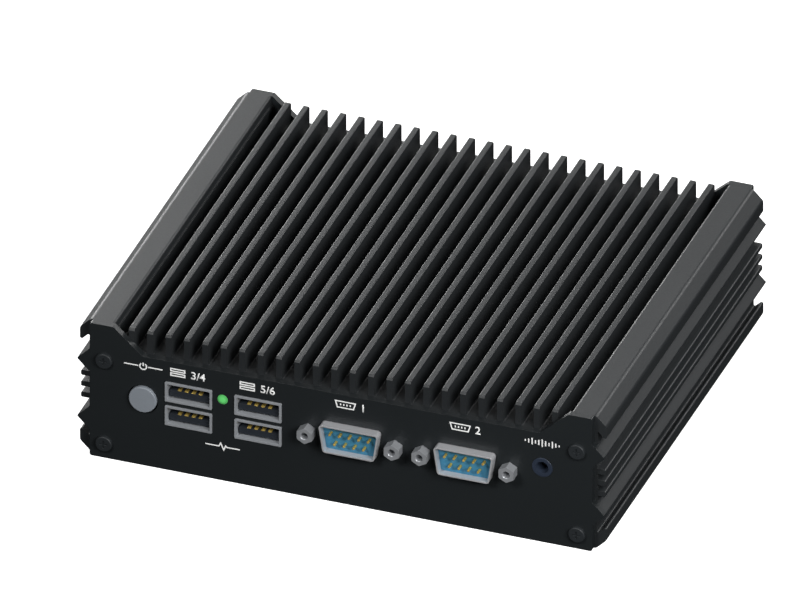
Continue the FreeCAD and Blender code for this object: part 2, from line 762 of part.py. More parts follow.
def jackscrews():
    """Hexagonal posts that hold the connector to the panel and take the plug's screws."""
    posts = []
    rim = JACKSCREW_FLATS / math.sqrt(3)
    for x in jackscrew_places():
        post = hex_bar(JACKSCREW_FLATS, x, DSUB_Z, -JACKSCREW_PROUD, 0)
        taper = Part.makeCone(rim - JACKSCREW_CHAMFER, rim - JACKSCREW_CHAMFER + JACKSCREW_PROUD,
                              JACKSCREW_PROUD, V(x, -JACKSCREW_PROUD, DSUB_Z), V(0, 1, 0))
        shank = rod_y(JACKSCREW_SHANK, x, DSUB_Z, 0, PANEL_THICKNESS + JACKSCREW_REACH)
        bore_end = JACKSCREW_BORE_DEPTH - JACKSCREW_PROUD
        bore = rod_y(JACKSCREW_BORE, x, DSUB_Z, -JACKSCREW_PROUD, bore_end)
        mouth, depth = JACKSCREW_SINK / 2, (JACKSCREW_SINK - JACKSCREW_BORE) / 2
        sink = Part.makeCone(mouth, mouth - depth, depth, V(x, -JACKSCREW_PROUD, DSUB_Z), V(0, 1, 0))
        posts.append(post.common(taper).fuse(shank).cut([bore, sink]))
    return posts


def dsub_cutouts():
    bore = JACKSCREW_SHANK + 2 * HOLE_GAP
    holes = [rod_y(bore, x, DSUB_Z, 0, PANEL_THICKNESS) for x in jackscrew_places()]
    return holes + [plate(dsub_section(-CUTOUT_GAP), 0, PANEL_THICKNESS)]


# Audio jack, network jack and power inlet

def audio_jack():
    """Moulded body on the board with a round nose through the panel and a bore for the plug."""
    z = BOARD_TOP + AUDIO_RISE
    half = AUDIO_WIDTH / 2
    end = PANEL_THICKNESS + AUDIO_DEPTH
    nose = rod_y(AUDIO_RING, 0, z, -AUDIO_PROUD, PANEL_THICKNESS)
    nose = nose.makeChamfer(AUDIO_EDGE, front_rims(nose))
    body = block(-half, half, PANEL_THICKNESS, end, BOARD_TOP, z + AUDIO_CROWN)
    contact_end = AUDIO_CONTACT_START + AUDIO_CONTACT_LENGTH
    seat = rod_y(AUDIO_CONTACT_DIAMETER + 2 * SEAT_GAP, 0, z, AUDIO_CONTACT_START, contact_end)
    return nose.fuse(body).cut([rod_y(AUDIO_BORE, 0, z, -AUDIO_PROUD, end), seat])


def audio_contact():
    """Sleeve contact in a groove of the jack's bore."""
    z = BOARD_TOP + AUDIO_RISE
    contact_end = AUDIO_CONTACT_START + AUDIO_CONTACT_LENGTH
    ring = rod_y(AUDIO_CONTACT_DIAMETER, 0, z, AUDIO_CONTACT_START, contact_end)
    return ring.cut(rod_y(AUDIO_BORE, 0, z, AUDIO_CONTACT_START, contact_end))


def lan_shell():
    """Sheet box round the network jack, open in front, behind and below."""
    half = LAN_WIDTH / 2
    end = PANEL_THICKNESS + LAN_DEPTH
    inner = half - LAN_SHEET
    top = BOARD_TOP + LAN_HEIGHT
    box = block(-half, half, -LAN_PROUD, end, BOARD_TOP, top)
    return box.cut(block(-inner, inner, -LAN_PROUD, end, BOARD_TOP, top - LAN_SHEET))


def lan_insert():
    """Moulding with the plug's pocket and the step for its latch below."""
    inner = LAN_WIDTH / 2 - LAN_SHEET
    end = PANEL_THICKNESS + LAN_DEPTH
    low = BOARD_TOP + LAN_PLUG_LIFT
    body = block(-inner, inner, 0, end, BOARD_TOP, BOARD_TOP + LAN_HEIGHT - LAN_SHEET)
    half, latch = LAN_PLUG_WIDTH / 2, LAN_LATCH_WIDTH / 2
    pocket = block(-half, half, 0, LAN_PLUG_DEPTH, low, low + LAN_PLUG_HEIGHT)
    step = block(-latch, latch, 0, LAN_PLUG_DEPTH, low - LAN_LATCH_HEIGHT, low)
    return body.cut([pocket, step])


def lan_contacts():
    """Sloping spring wires under the roof of the plug's pocket."""
    wires = []
    top = BOARD_TOP + LAN_PLUG_LIFT + LAN_PLUG_HEIGHT
    for index in range(LAN_CONTACTS):
        x = (index - (LAN_CONTACTS - 1) / 2) * LAN_CONTACT_PITCH - LAN_CONTACT_WIDTH / 2
        section = Part.makePolygon([
            V(x, LAN_CONTACT_START, top),
            V(x, LAN_PLUG_DEPTH, top - LAN_CONTACT_DROP),
            V(x, LAN_PLUG_DEPTH, top - LAN_CONTACT_DROP + LAN_CONTACT_WIDTH),
            V(x, LAN_CONTACT_START + LAN_CONTACT_WIDTH * 2, top),
            V(x, LAN_CONTACT_START, top),
        ])
        wires.append(Part.Face(section).extrude(V(LAN_CONTACT_WIDTH, 0, 0)))
    return wires


def inlet_body():
    """Moulded power inlet with a round mouth through the panel."""
    z = BOARD_TOP + INLET_RISE
    half = INLET_WIDTH / 2
    body = block(-half, half, PANEL_THICKNESS, PANEL_THICKNESS + INLET_DEPTH, BOARD_TOP, z + INLET_CROWN)
    mouth = rod_y(INLET_MOUTH, 0, z, -INLET_PROUD, PANEL_THICKNESS)
    bore = rod_y(INLET_BORE, 0, z, -INLET_PROUD, INLET_BORE_DEPTH)
    return body.fuse(mouth).cut(bore)


def inlet_pin():
    """Centre pin of the power inlet, standing on the bottom of its bore."""
    z = BOARD_TOP + INLET_RISE
    pin = rod_y(INLET_PIN, 0, z, INLET_PIN_DEPTH, INLET_BORE_DEPTH)
    return pin.makeFillet(INLET_PIN / 4, front_rims(pin))


# Panels with their cut-outs

def front_panel():
    button = rod_y(BUTTON_DIAMETER + 2 * BUTTON_GAP, BUTTON_X, BOARD_TOP + BUTTON_RISE, 0, PANEL_THICKNESS)
    led = rod_y(LED_DIAMETER + 2 * SEAT_GAP, LED_X, BOARD_TOP + LED_RISE, 0, PANEL_THICKNESS)
    audio = rod_y(AUDIO_RING + 2 * SEAT_GAP, AUDIO_X, BOARD_TOP + AUDIO_RISE, 0, PANEL_THICKNESS)
    cuts = [button, led, audio]
    for x in (STACK_A_X, STACK_B_X):
        cuts += [cut.translated(V(x, 0, 0)) for cut in stack_cutouts()]
    for x in (COM1_X, COM2_X):
        cuts += [cut.translated(V(x, 0, 0)) for cut in dsub_cutouts()]
    return at_port(panel_blank().cut(cuts), 0)


def rear_panel():
    inlet_z = BOARD_TOP + INLET_RISE
    inlet = rod_y(INLET_MOUTH + 2 * CUTOUT_GAP, -INLET_X, inlet_z, 0, PANEL_THICKNESS)
    half = LAN_WIDTH / 2 + CUTOUT_GAP
    lan_top = BOARD_TOP + LAN_HEIGHT + CUTOUT_GAP
    lan = block(-LAN_X - half, -LAN_X + half, 0, PANEL_THICKNESS, BOARD_TOP - CUTOUT_GAP, lan_top)
    cuts = [inlet, lan]
    cuts += [cut.translated(V(-STACK_REAR_X, 0, 0)) for cut in stack_cutouts()]
    cuts += [cut.translated(V(-VIDEO_X, 0, 0)) for cut in dsub_cutouts()]
    return at_port(panel_blank().cut(cuts), 0, rear=True)


# Inside

def spacer_places():
    reach = SPREADER_SIZE / 2 - SPACER_INSET
    return [(sx * reach, sy * reach) for sx in (-1, 1) for sy in (-1, 1)]


def main_board():
    """Circuit board in the rails, with holes for the spacers' screws and the storage spacer."""
    board = block(-BOARD_X, BOARD_X, -BOARD_HALF, BOARD_HALF, BOARD_BOTTOM, BOARD_TOP)
    hole = SPACER_SHANK + 2 * HOLE_GAP
    return board.cut([rod_z(hole, x, y, BOARD_BOTTOM, BOARD_TOP) for x, y in spacer_places()])


def processor():
    """Flat package with the bare die on top."""
    wide, long = PROCESSOR_WIDTH / 2, PROCESSOR_LENGTH / 2
    top = BOARD_TOP + PROCESSOR_THICKNESS
    package = block(-wide, wide, -long, long, BOARD_TOP, top)
    die = block(-DIE_WIDTH / 2, DIE_WIDTH / 2, -DIE_LENGTH / 2, DIE_LENGTH / 2, top, top + DIE_THICKNESS)
    return package.fuse(die)


PAD_BOTTOM = BOARD_TOP + PROCESSOR_THICKNESS + DIE_THICKNESS
PAD_TOP = PAD_BOTTOM + PAD_THICKNESS
SPREADER_BOTTOM = CAVITY_TOP - SPREADER_THICKNESS


def thermal_pad():
    wide, long = DIE_WIDTH / 2 + PAD_MARGIN, DIE_LENGTH / 2 + PAD_MARGIN
    return block(-wide, wide, -long, long, PAD_BOTTOM, PAD_TOP)


def heat_spreader():
    """Plate against the roof with a pedestal down to the processor's pad."""
    half, foot = SPREADER_SIZE / 2, PEDESTAL_SIZE / 2
    top_plate = block(-half, half, -half, half, SPREADER_BOTTOM, CAVITY_TOP)
    pedestal = block(-foot, foot, -foot, foot, PAD_TOP, SPREADER_BOTTOM)
    return top_plate.fuse(pedestal)


def spreader_spacers():
    """Hexagonal spacers between the board and the heat spreader, bored for their screws."""
    spacers = []
    length = SPREADER_BOTTOM - BOARD_TOP
    for x, y in spacer_places():
        post = hex_bar(SPACER_FLATS, 0, 0, 0, length)
        post.rotate(V(0, 0, 0), V(1, 0, 0), 90)
        post.translate(V(x, y, BOARD_TOP))
        reach = BOARD_TOP + SPACER_SCREW_REACH
        spacers.append(post.cut(rod_z(SPACER_SHANK + 2 * THREAD_GAP, x, y, BOARD_TOP, reach)))
    return spacers


def spacer_screws():
    """Screws from under the board into the spacers."""
    screws = []
    for x, y in spacer_places():
        shank_end = BOARD_TOP + SPACER_SCREW_REACH
        shank = rod_z(SPACER_SHANK, x, y, BOARD_BOTTOM, shank_end)
        head = rod_z(SPACER_HEAD, x, y, BOARD_BOTTOM - SPACER_HEAD_HEIGHT, BOARD_BOTTOM)
        screws.append(head.fuse(shank))
    return screws


def memory_socket():
    """Socket along the module's edge with a slot for it."""
    edge = MEMORY_X + MEMORY_WIDTH / 2
    half = MEMORY_SOCKET_LENGTH / 2
    slot_low = BOARD_TOP + MEMORY_LIFT
    start = edge - MEMORY_INSERT
    y0, y1 = MEMORY_Y - half, MEMORY_Y + half
    body = block(start, start + MEMORY_SOCKET_WIDTH, y0, y1, BOARD_TOP, BOARD_TOP + MEMORY_SOCKET_HEIGHT)
    reach = MEMORY_LENGTH / 2
    slot = block(start, edge, MEMORY_Y - reach, MEMORY_Y + reach, slot_low, slot_low + MEMORY_THICKNESS)
    return body.cut(slot)


def memory_module():
    """Small circuit board with a row of chips on top, its edge in the socket."""
    half, reach = MEMORY_WIDTH / 2, MEMORY_LENGTH / 2
    low = BOARD_TOP + MEMORY_LIFT
    top = low + MEMORY_THICKNESS
    card = block(MEMORY_X - half, MEMORY_X + half, MEMORY_Y - reach, MEMORY_Y + reach, low, top)
    chips = []
    pitch = MEMORY_LENGTH / MEMORY_CHIPS
    x0 = MEMORY_X - MEMORY_CHIP_LENGTH
    for index in range(MEMORY_CHIPS):
        y = MEMORY_Y + (index - (MEMORY_CHIPS - 1) / 2) * pitch
        y0, y1 = y - MEMORY_CHIP_WIDTH / 2, y + MEMORY_CHIP_WIDTH / 2
        chips.append(block(x0, x0 + MEMORY_CHIP_LENGTH, y0, y1, top, top + MEMORY_CHIP_THICKNESS))
    return card.fuse(chips)


def storage_socket():
    """Socket at the rear end of the storage module."""
    edge = STORAGE_Y + STORAGE_LENGTH / 2
    half = STORAGE_WIDTH / 2
    low = BOARD_TOP + STORAGE_LIFT
    start = edge - STORAGE_INSERT
    top = BOARD_TOP + STORAGE_SOCKET_HEIGHT
    body = block(STORAGE_X - half, STORAGE_X + half, start, start + STORAGE_SOCKET_DEPTH, BOARD_TOP, top)
    slot = block(STORAGE_X - half, STORAGE_X + half, start, edge, low, low + STORAGE_THICKNESS)
    return body.cut(slot)


def storage_module():
    """Narrow circuit board with chips on top and a half-round notch for its screw."""
    half = STORAGE_WIDTH / 2
    low = BOARD_TOP + STORAGE_LIFT
    top = low + STORAGE_THICKNESS
    y0, y1 = STORAGE_Y - STORAGE_LENGTH / 2, STORAGE_Y + STORAGE_LENGTH / 2
    card = block(STORAGE_X - half, STORAGE_X + half, y0, y1, low, top)
    chips = []
    pitch = (STORAGE_LENGTH - STORAGE_SOCKET_DEPTH) / (STORAGE_CHIPS + 1)
    side = STORAGE_CHIP_SIZE / 2
    for index in range(STORAGE_CHIPS):
        y = y0 + pitch * (index + 1)
        chip_top = top + STORAGE_CHIP_THICKNESS
        chips.append(block(STORAGE_X - side, STORAGE_X + side, y - side, y + side, top, chip_top))
    notch = rod_z(STORAGE_SCREW_SHANK + 2 * HOLE_GAP, STORAGE_X, y0, low, top)
    return card.fuse(chips).cut(notch)


def storage_spacer():
    """Round spacer under the storage module's free end."""
    y = STORAGE_Y - STORAGE_LENGTH / 2
    low = BOARD_TOP + STORAGE_LIFT
    post = rod_z(STORAGE_SPACER, STORAGE_X, y, BOARD_TOP, low)
    return post.cut(rod_z(STORAGE_SCREW_SHANK + 2 * THREAD_GAP, STORAGE_X, y, BOARD_TOP, low))


def storage_screw():
    y = STORAGE_Y - STORAGE_LENGTH / 2
    seat = BOARD_TOP + STORAGE_LIFT + STORAGE_THICKNESS
    shank = rod_z(STORAGE_SCREW_SHANK, STORAGE_X, y, BOARD_TOP, seat)
    return shank.fuse(rod_z(STORAGE_SCREW_HEAD, STORAGE_X, y, seat, seat + STORAGE_SCREW_HEAD_HEIGHT))


def cell_holder():
    """Round cup for the clock cell, open at one side for taking it out."""
    radius = CELL_DIAMETER / 2 + CELL_GAP
    outer = 2 * (radius + CELL_HOLDER_WALL)
    floor = BOARD_TOP + CELL_HOLDER_FLOOR
    top = BOARD_TOP + CELL_HOLDER_HEIGHT
    cup = rod_z(outer, CELL_X, CELL_Y, BOARD_TOP, top).cut(rod_z(2 * radius, CELL_X, CELL_Y, floor, top))
    notch = block(CELL_X - radius / 2, CELL_X + radius / 2, CELL_Y - outer, CELL_Y, floor, top)
    return cup.cut(notch)


def clock_cell():
    floor = BOARD_TOP + CELL_HOLDER_FLOOR
    return rod_z(CELL_DIAMETER, CELL_X, CELL_Y, floor, floor + CELL_THICKNESS)


def chokes():
    """Square chokes in a row beside the power inlet."""
    cubes = []
    half = CHOKE_SIZE / 2
    for index in range(CHOKE_COUNT):
        y = CHOKE_Y - index * CHOKE_PITCH
        cube = block(CHOKE_X - half, CHOKE_X + half, y - half, y + half, BOARD_TOP, BOARD_TOP + CHOKE_HEIGHT)
        upright = [e for e in cube.Edges if abs(e.BoundBox.ZLength - CHOKE_HEIGHT) < TINY]
        cubes.append(cube.makeFillet(min(CHOKE_RADIUS, half / 2), upright))
    return cubes


def save_stack(name, x, rear=False):
    save(name + "_shell", at_port(stack_shell(), x, rear))
    save(name + "_core", at_port(stack_core(), x, rear))
    save(name + "_contacts", [at_port(strip, x, rear) for strip in stack_contacts()])


def save_com(name, x):
    moulding = dsub_moulding(pin_places(), DSUB_FACE_DEPTH, PIN_DIAMETER + 2 * SEAT_GAP)
    save(name + "_shell", at_port(dsub_shell(), x))
    save(name + "_insulator", at_port(moulding, x))
    save(name + "_pins", [at_port(pin, x) for pin in dsub_pins()])
    save(name + "_jackscrews", [at_port(post, x) for post in jackscrews()])


def save_video():
    moulding = dsub_moulding(video_places(), VIDEO_FACE_DEPTH, VIDEO_HOLE)
    save("video_shell", at_port(dsub_shell(), VIDEO_X, True))
    save("video_insulator", at_port(moulding, VIDEO_X, True))
    save("video_contacts", [at_port(contact, VIDEO_X, True) for contact in video_contacts()])
    save("video_jackscrews", [at_port(post, VIDEO_X, True) for post in jackscrews()])


def main():
    os.makedirs("parts", exist_ok=True)
    save("enclosure_body", enclosure_body())
    save("front_panel", front_panel())
    save("rear_panel", rear_panel())
    save("front_panel_screws", panel_screws(False))
    save("rear_panel_screws", panel_screws(True))
    save("power_button", at_port(button_cap(), BUTTON_X))
    save("power_switch", at_port(power_switch(), BUTTON_X))
    save("status_led", at_port(status_led(), LED_X))
    save("status_led_holder", at_port(led_holder(), LED_X))
    save_stack("usb_stack_a", STACK_A_X)
    save_stack("usb_stack_b", STACK_B_X)
    save_stack("usb_stack_rear", STACK_REAR_X, rear=True)
    save_com("com1", COM1_X)
    save_com("com2", COM2_X)
    save_video()
    save("audio_jack", at_port(audio_jack(), AUDIO_X))
    save("audio_contact", at_port(audio_contact(), AUDIO_X))
    save("lan_shell", at_port(lan_shell(), LAN_X, True))
    save("lan_insert", at_port(lan_insert(), LAN_X, True))
    save("lan_contacts", [at_port(wire, LAN_X, True) for wire in lan_contacts()])
    save("dc_inlet_body", at_port(inlet_body(), INLET_X, True))
    save("dc_inlet_pin", at_port(inlet_pin(), INLET_X, True))
    save("main_board", main_board())
    save("processor", processor())
    save("thermal_pad", thermal_pad())
    save("heat_spreader", heat_spreader())
    save("spreader_spacers", spreader_spacers())
    save("spacer_screws", spacer_screws())
    save("memory_socket", memory_socket())
    save("memory_module", memory_module())
    save("storage_socket", storage_socket())
    save("storage_module", storage_module())
    save("storage_spacer", storage_spacer())
    save("storage_screw", storage_screw())
    save("cell_holder", cell_holder())
    save("clock_cell", clock_cell())
    save("power_chokes", chokes())


main()
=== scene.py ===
import math

import bpy
import numpy as np
from mathutils import Matrix, Vector


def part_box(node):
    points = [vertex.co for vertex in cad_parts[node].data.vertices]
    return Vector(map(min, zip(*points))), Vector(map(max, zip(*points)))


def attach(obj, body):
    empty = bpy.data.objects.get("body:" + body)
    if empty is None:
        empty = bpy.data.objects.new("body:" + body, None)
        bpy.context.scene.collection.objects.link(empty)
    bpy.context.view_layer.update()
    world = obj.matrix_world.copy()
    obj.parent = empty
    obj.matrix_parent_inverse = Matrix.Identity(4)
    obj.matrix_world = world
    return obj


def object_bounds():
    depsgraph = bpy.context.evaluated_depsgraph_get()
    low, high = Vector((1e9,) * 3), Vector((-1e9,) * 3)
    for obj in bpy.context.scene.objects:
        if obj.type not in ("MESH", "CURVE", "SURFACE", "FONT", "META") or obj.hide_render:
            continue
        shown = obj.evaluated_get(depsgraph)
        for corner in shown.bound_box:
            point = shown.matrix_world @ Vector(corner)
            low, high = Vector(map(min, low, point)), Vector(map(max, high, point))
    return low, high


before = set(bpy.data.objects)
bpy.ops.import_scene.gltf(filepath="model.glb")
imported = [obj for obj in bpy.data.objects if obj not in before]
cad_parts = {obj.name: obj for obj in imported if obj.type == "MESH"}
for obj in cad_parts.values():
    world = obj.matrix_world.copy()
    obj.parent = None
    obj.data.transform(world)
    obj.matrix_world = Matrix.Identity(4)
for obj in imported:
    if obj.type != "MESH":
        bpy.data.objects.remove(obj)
cad_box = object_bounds()
cad_middle = (cad_box[0] + cad_box[1]) / 2

bl_info = {
    "name": "Fanless Industrial Computer",
    "version": (1, 0, 0),
    "blender": (4, 5, 0),
    "location": "3D View > Sidebar > Fanless Computer",
    "description": "Finishes, printed marks and studio for a computer in a finned extrusion",
    "category": "Object",
}

MM = 0.001
FLOOR_GAP = 0.02 * MM  # between the underside and the floor
CAMERA_DISTANCE = 1.5
WHITE = (1.0, 1.0, 1.0, 1.0)
DIGIT_SHARE = 0.69  # height of a digit as a share of the typeface's size
DIGIT_WEIGHT = 0.02  # how far a digit's outline is moved outwards, as a share of its height


# Settings: sizes, colours and powers


def linear(code):
    """Linear colour of an sRGB hex code such as "1e2122"."""
    channels = [int(code[i:i + 2], 16) / 255 for i in (0, 2, 4)]
    return [c / 12.92 if c <= 0.04045 else ((c + 0.055) / 1.055) ** 2.4 for c in channels]


# Short forms of the properties below; a length is given in millimetres and an angle in degrees


def colour(name, code, description):
    return bpy.props.FloatVectorProperty(
        name=name, description=description, subtype="COLOR", size=3, min=0, max=1, default=linear(code))


def length(name, millimetres, description, lowest=0.0):
    return bpy.props.FloatProperty(
        name=name, description=description, default=millimetres * MM, min=lowest, unit="LENGTH", precision=5)


def angle(name, degrees, description):
    return bpy.props.FloatProperty(
        name=name, description=description, default=math.radians(degrees), subtype="ANGLE")


def power(name, watts, description):
    return bpy.props.FloatProperty(name=name, description=description, default=watts, min=0, unit="POWER")


def glow(name, strength, description):
    return bpy.props.FloatProperty(name=name, description=description, default=strength, min=0)


class ShellColours(bpy.types.PropertyGroup):
    """Colours of the extrusion, the end panels and their screws."""
    extrusion: colour("Extrusion", "2b2e30", "Dyed oxide film on the extrusion")
    panel: colour("Panels", "24282a", "Dyed oxide film on the end panels")
    screw: colour("Screws", "2b2f32", "Black oxide on the panel screws")


class PortColours(bpy.types.PropertyGroup):
    """Colours of the sockets, connectors and button, and the colour and light of the lamp."""
    port_steel: colour("Port steel", "bcc0c5", "Stamped shells of the bus and network sockets")
    shell_steel: colour("Connector steel", "d2d3d6", "Drawn shells of the trapezoid connectors")
    nickel: colour("Nickel", "b9bcc0", "Plated jackscrews and contacts")
    gold: colour("Contacts", "f0cf6e", "Flashed contacts and pins")
    insulator: colour("Insulator", "458cb0", "Moulding that holds the pins")
    tongue: colour("Tongue", "2c3138", "Moulded tongues inside the bus sockets")
    jack: colour("Audio socket", "2f3848", "Moulded ring of the audio socket")
    housing: colour("Housings", "17181a", "Moulded inserts, sockets and holders")
    button: colour("Button", "9ca3ab", "Moulded cap of the power button")
    lamp: colour("Lamp", "5fc46a", "Tinted dome of the status lamp")
    lamp_middle: glow("Lamp middle", 0.52, "Strength of the lamp's light in the middle of its dome")
    lamp_rim: glow("Lamp rim", 0.08, "Strength of the lamp's light at the rim of its dome")


class InsideColours(bpy.types.PropertyGroup):
    """Colours of the boards and the parts on them."""
    board: colour("Boards", "1f5a38", "Lacquer on the main board and the modules")
    chip: colour("Chips", "1c1d1f", "Moulded bodies of the processor and the chokes")
    pad: colour("Thermal pad", "8f9499", "Soft pad on the processor")
    aluminium: colour("Heat spreader", "b7babd", "Bare milled metal")
    brass: colour("Spacers", "c2a24e", "Bare turned metal")
    cell: colour("Clock cell", "c3c5c7", "Pressed can of the cell")


class PrintSettings(bpy.types.PropertyGroup):
    """Sizes, rows and colour of the marks printed on the front panel."""
    height: length("Height", 2.3, "Height of the marks")
    stroke: length("Stroke", 0.36, "Width of a printed line")
    film: length("Film", 0.03, "Height of the ink's face above the panel")
    upper_row: length("Upper row", 31.4, "Middle of the upper marks above the panel's foot")
    lower_row: length("Lower row", 10.75, "Middle of the lower mark above the panel's foot")
    ink: colour("Ink", "f4f5f3", "Screen-printed white")
    # Painted glow: light that the ink gives off by itself, so the print stays white where shade falls on it
    painted_glow: glow("Painted glow", 0.25, "Light that the ink gives back beyond what falls on it")


class StudioSettings(bpy.types.PropertyGroup):
    """Floor, lights and camera."""
    azimuth: angle("Azimuth", 20.02, "Camera's turn to the right round the object")
    elevation: angle("Elevation", 31.87, "Camera's height above the horizon")
    view_width: length("View width", 215.85, "Width that the parallel view takes in")
    view_across: length("View across", -5.855, "View's middle to the right of the object's", lowest=-1.0)
    view_up: length("View up", 5.361, "View's middle above the object's", lowest=-1.0)
    floor: colour("Floor", "f7f7f7", "Pale floor")
    floor_width: length("Floor width", 6000, "Side of the square floor")
    floor_glow: glow("Floor glow", 0.9, "Light that the floor gives off")
    rear: power("Rear", 3.75, "Power of the broad softbox behind")
    key: power("Key", 4.25, "Power of the low softbox behind on the left")
    right: power("Right", 5.8, "Power of the softbox behind on the right")
    front: power("Front", 6, "Power of the softbox in front on the left")
    fill: power("Fill", 2.4, "Power of the softbox close by on the right")
    room: glow("Room", 0.02, "Strength of the even light from all sides")


# Finishes


def add_node(tree, kind, inputs=None, **settings):
    """One node of that kind; its inputs are plain values or other nodes' output sockets."""
    node = tree.nodes.new(kind)
    for name, value in settings.items():
        setattr(node, name, value)
    for name, value in (inputs or {}).items():
        if isinstance(value, bpy.types.NodeSocket):
            tree.links.new(value, node.inputs[name])
        else:
            node.inputs[name].default_value = value
    return node


def rgba(tone, gain=1.0):
    return [min(1.0, channel * gain) for channel in tone] + [1.0]


def grained(name, tone, spread, cloud, grain, rough, bump, edge=0.12, **values):
    """Material with broad clouds of tone, and one fine grain in its colour, roughness and height.

    cloud, grain, bump and edge are millimetres; spread is the share by which the tone drifts, and
    rough the lowest and highest roughness. A real grain, such as etching or a mould's spark
    texture, is hundredths of a millimetre wide, and is drawn in tenths so that it shows. The
    rounded edge catches the light. Other values go to the shader's own inputs."""
    material = bpy.data.materials.new(name)
    material.use_nodes = True
    tree = material.node_tree
    tree.nodes.clear()
    place = add_node(tree, "ShaderNodeTexCoord").outputs["Object"]
    clouds = add_node(tree, "ShaderNodeTexNoise",
                      {"Vector": place, "Scale": 1 / (cloud * MM), "Detail": 2.0}).outputs["Fac"]
    specks = add_node(tree, "ShaderNodeTexNoise",
                      {"Vector": place, "Scale": 1 / (grain * MM), "Detail": 3.0}).outputs["Fac"]
    # Each noise keeps near one half, so the ranges below take in nearly all of it
    mixed = add_node(tree, "ShaderNodeMath", {0: clouds, 1: specks}, operation="ADD").outputs[0]
    share = add_node(tree, "ShaderNodeMapRange",
                     {"Value": mixed, "From Min": 0.6, "From Max": 1.4}).outputs["Result"]
    base = add_node(tree, "ShaderNodeMix",
                    {"Factor": share, "A": rgba(tone, 1 - spread), "B": rgba(tone, 1 + spread)},
                    data_type="RGBA").outputs[2]
    roughness = add_node(tree, "ShaderNodeMapRange",
                         {"Value": specks, "From Min": 0.3, "From Max": 0.7,
                          "To Min": rough[0], "To Max": rough[1]}).outputs["Result"]
    rounded = add_node(tree, "ShaderNodeBevel", {"Radius": edge * MM}, samples=4).outputs["Normal"]
    normal = add_node(tree, "ShaderNodeBump",
                      {"Height": specks, "Distance": bump * MM, "Strength": 1.0,
                       "Normal": rounded}).outputs["Normal"]
    shader = add_node(tree, "ShaderNodeBsdfPrincipled",
                      {"Base Color": base, "Roughness": roughness, "Normal": normal, **values})
    add_node(tree, "ShaderNodeOutputMaterial", {"Surface": shader.outputs["BSDF"]})
    return material


def dress(material, *nodes):
    """Gives these CAD nodes that one material."""
    for name in nodes:
        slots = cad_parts[name].data.materials
        slots.clear()
        slots.append(material)


def anodised_extrusion(tone):
    # Etched and dyed 6063: an even satin black, a faint grain where light rakes along it
    return grained("anodised_extrusion", tone, spread=0.1, cloud=22, grain=0.45, rough=(0.42, 0.54),
                   bump=0.012, edge=0.08)


def anodised_plate(tone):
    # Laser-cut sheet, dyed black: smoother than the extrusion, so bright parts glow softly in it
    return grained("anodised_plate", tone, spread=0.07, cloud=35, grain=0.35, rough=(0.4, 0.48),
                   bump=0.005)


def black_oxide_steel(tone):
    # Blackened screw heads: as dull and dark as the panel, with a faint glint on their rims
    return grained("black_oxide_steel", tone, spread=0.1, cloud=3, grain=0.3, rough=(0.45, 0.55),
                   bump=0.004, edge=0.06)


def tinned_steel(tone):
    # Stamped and tinned sheet: its dulled skin keeps it pale and matt where nothing is mirrored
    return grained("tinned_steel", tone, spread=0.08, cloud=4, grain=0.5, rough=(0.42, 0.55),
                   bump=0.004, edge=0.08, Metallic=0.3)


def drawn_steel(tone):
    # Deep-drawn shell under satin nickel: smooth and pale with broad soft highlights
    return grained("drawn_steel", tone, spread=0.05, cloud=6, grain=0.6, rough=(0.3, 0.4),
                   bump=0.003, Metallic=0.3)


def nickel_brass(tone):
    # Turned hexagon bar under satin nickel: each flat catches the light differently
    return grained("nickel_brass", tone, spread=0.06, cloud=2, grain=0.3, rough=(0.3, 0.42),
                   bump=0.004, edge=0.08, Metallic=0.4)


def gold_flash(tone):
    # Thin gold over nickel: warm, bright, slightly brushed
    return grained("gold_flash", tone, spread=0.1, cloud=1.5, grain=0.2, rough=(0.22, 0.34),
                   bump=0.002, edge=0.03, Metallic=0.6)


def moulded_polyester(name, tone, rough=(0.42, 0.55)):
    # Glass-filled connector moulding: even colour, eggshell surface
    return grained(name, tone, spread=0.06, cloud=5, grain=0.25, rough=rough, bump=0.004, edge=0.06)


def lamp_epoxy(tone, centre, radius, middle_glow, rim_glow):
    # Clear tinted epoxy lit from inside: its light fades from the middle of the dome to its rim
    material = grained("lamp_epoxy", tone, spread=0.05, cloud=1.5, grain=0.4, rough=(0.15, 0.25),
                       bump=0.002, edge=0.05)
    tree = material.node_tree
    shader = next(n for n in tree.nodes if n.type == "BSDF_PRINCIPLED")
    place = add_node(tree, "ShaderNodeTexCoord").outputs["Object"]
    away = add_node(tree, "ShaderNodeVectorMath", {0: place, 1: centre}, operation="SUBTRACT")
    level = add_node(tree, "ShaderNodeVectorMath", {0: away.outputs["Vector"], 1: (1, 0, 1)},
                     operation="MULTIPLY")
    distance = add_node(tree, "ShaderNodeVectorMath", {0: level.outputs["Vector"]}, operation="LENGTH")
    # The light is even over the inner third and then falls off
    light = add_node(tree, "ShaderNodeMapRange",
                     {"Value": distance.outputs["Value"], "From Min": 0.35 * radius, "From Max": radius,
                      "To Min": middle_glow, "To Max": rim_glow}, interpolation_type="SMOOTHSTEP")
    shader.inputs["Emission Color"].default_value = rgba(tone)
    tree.links.new(light.outputs["Result"], shader.inputs["Emission Strength"])
    return material


def solder_mask(tone):
    # Green lacquer over copper and glass cloth: a soft shine, clouded by what lies under it
    return grained("solder_mask", tone, spread=0.15, cloud=6, grain=0.8, rough=(0.3, 0.42), bump=0.01)


def chip_epoxy(tone):
    # Mineral-filled moulding compound: dull charcoal with a dry grain
    return grained("chip_epoxy", tone, spread=0.1, cloud=3, grain=0.3, rough=(0.5, 0.65), bump=0.005)


def silicone_pad(tone):
    # Soft filled rubber: flat grey that hardly shines
    return grained("silicone_pad", tone, spread=0.1, cloud=2, grain=0.4, rough=(0.6, 0.75), bump=0.01)


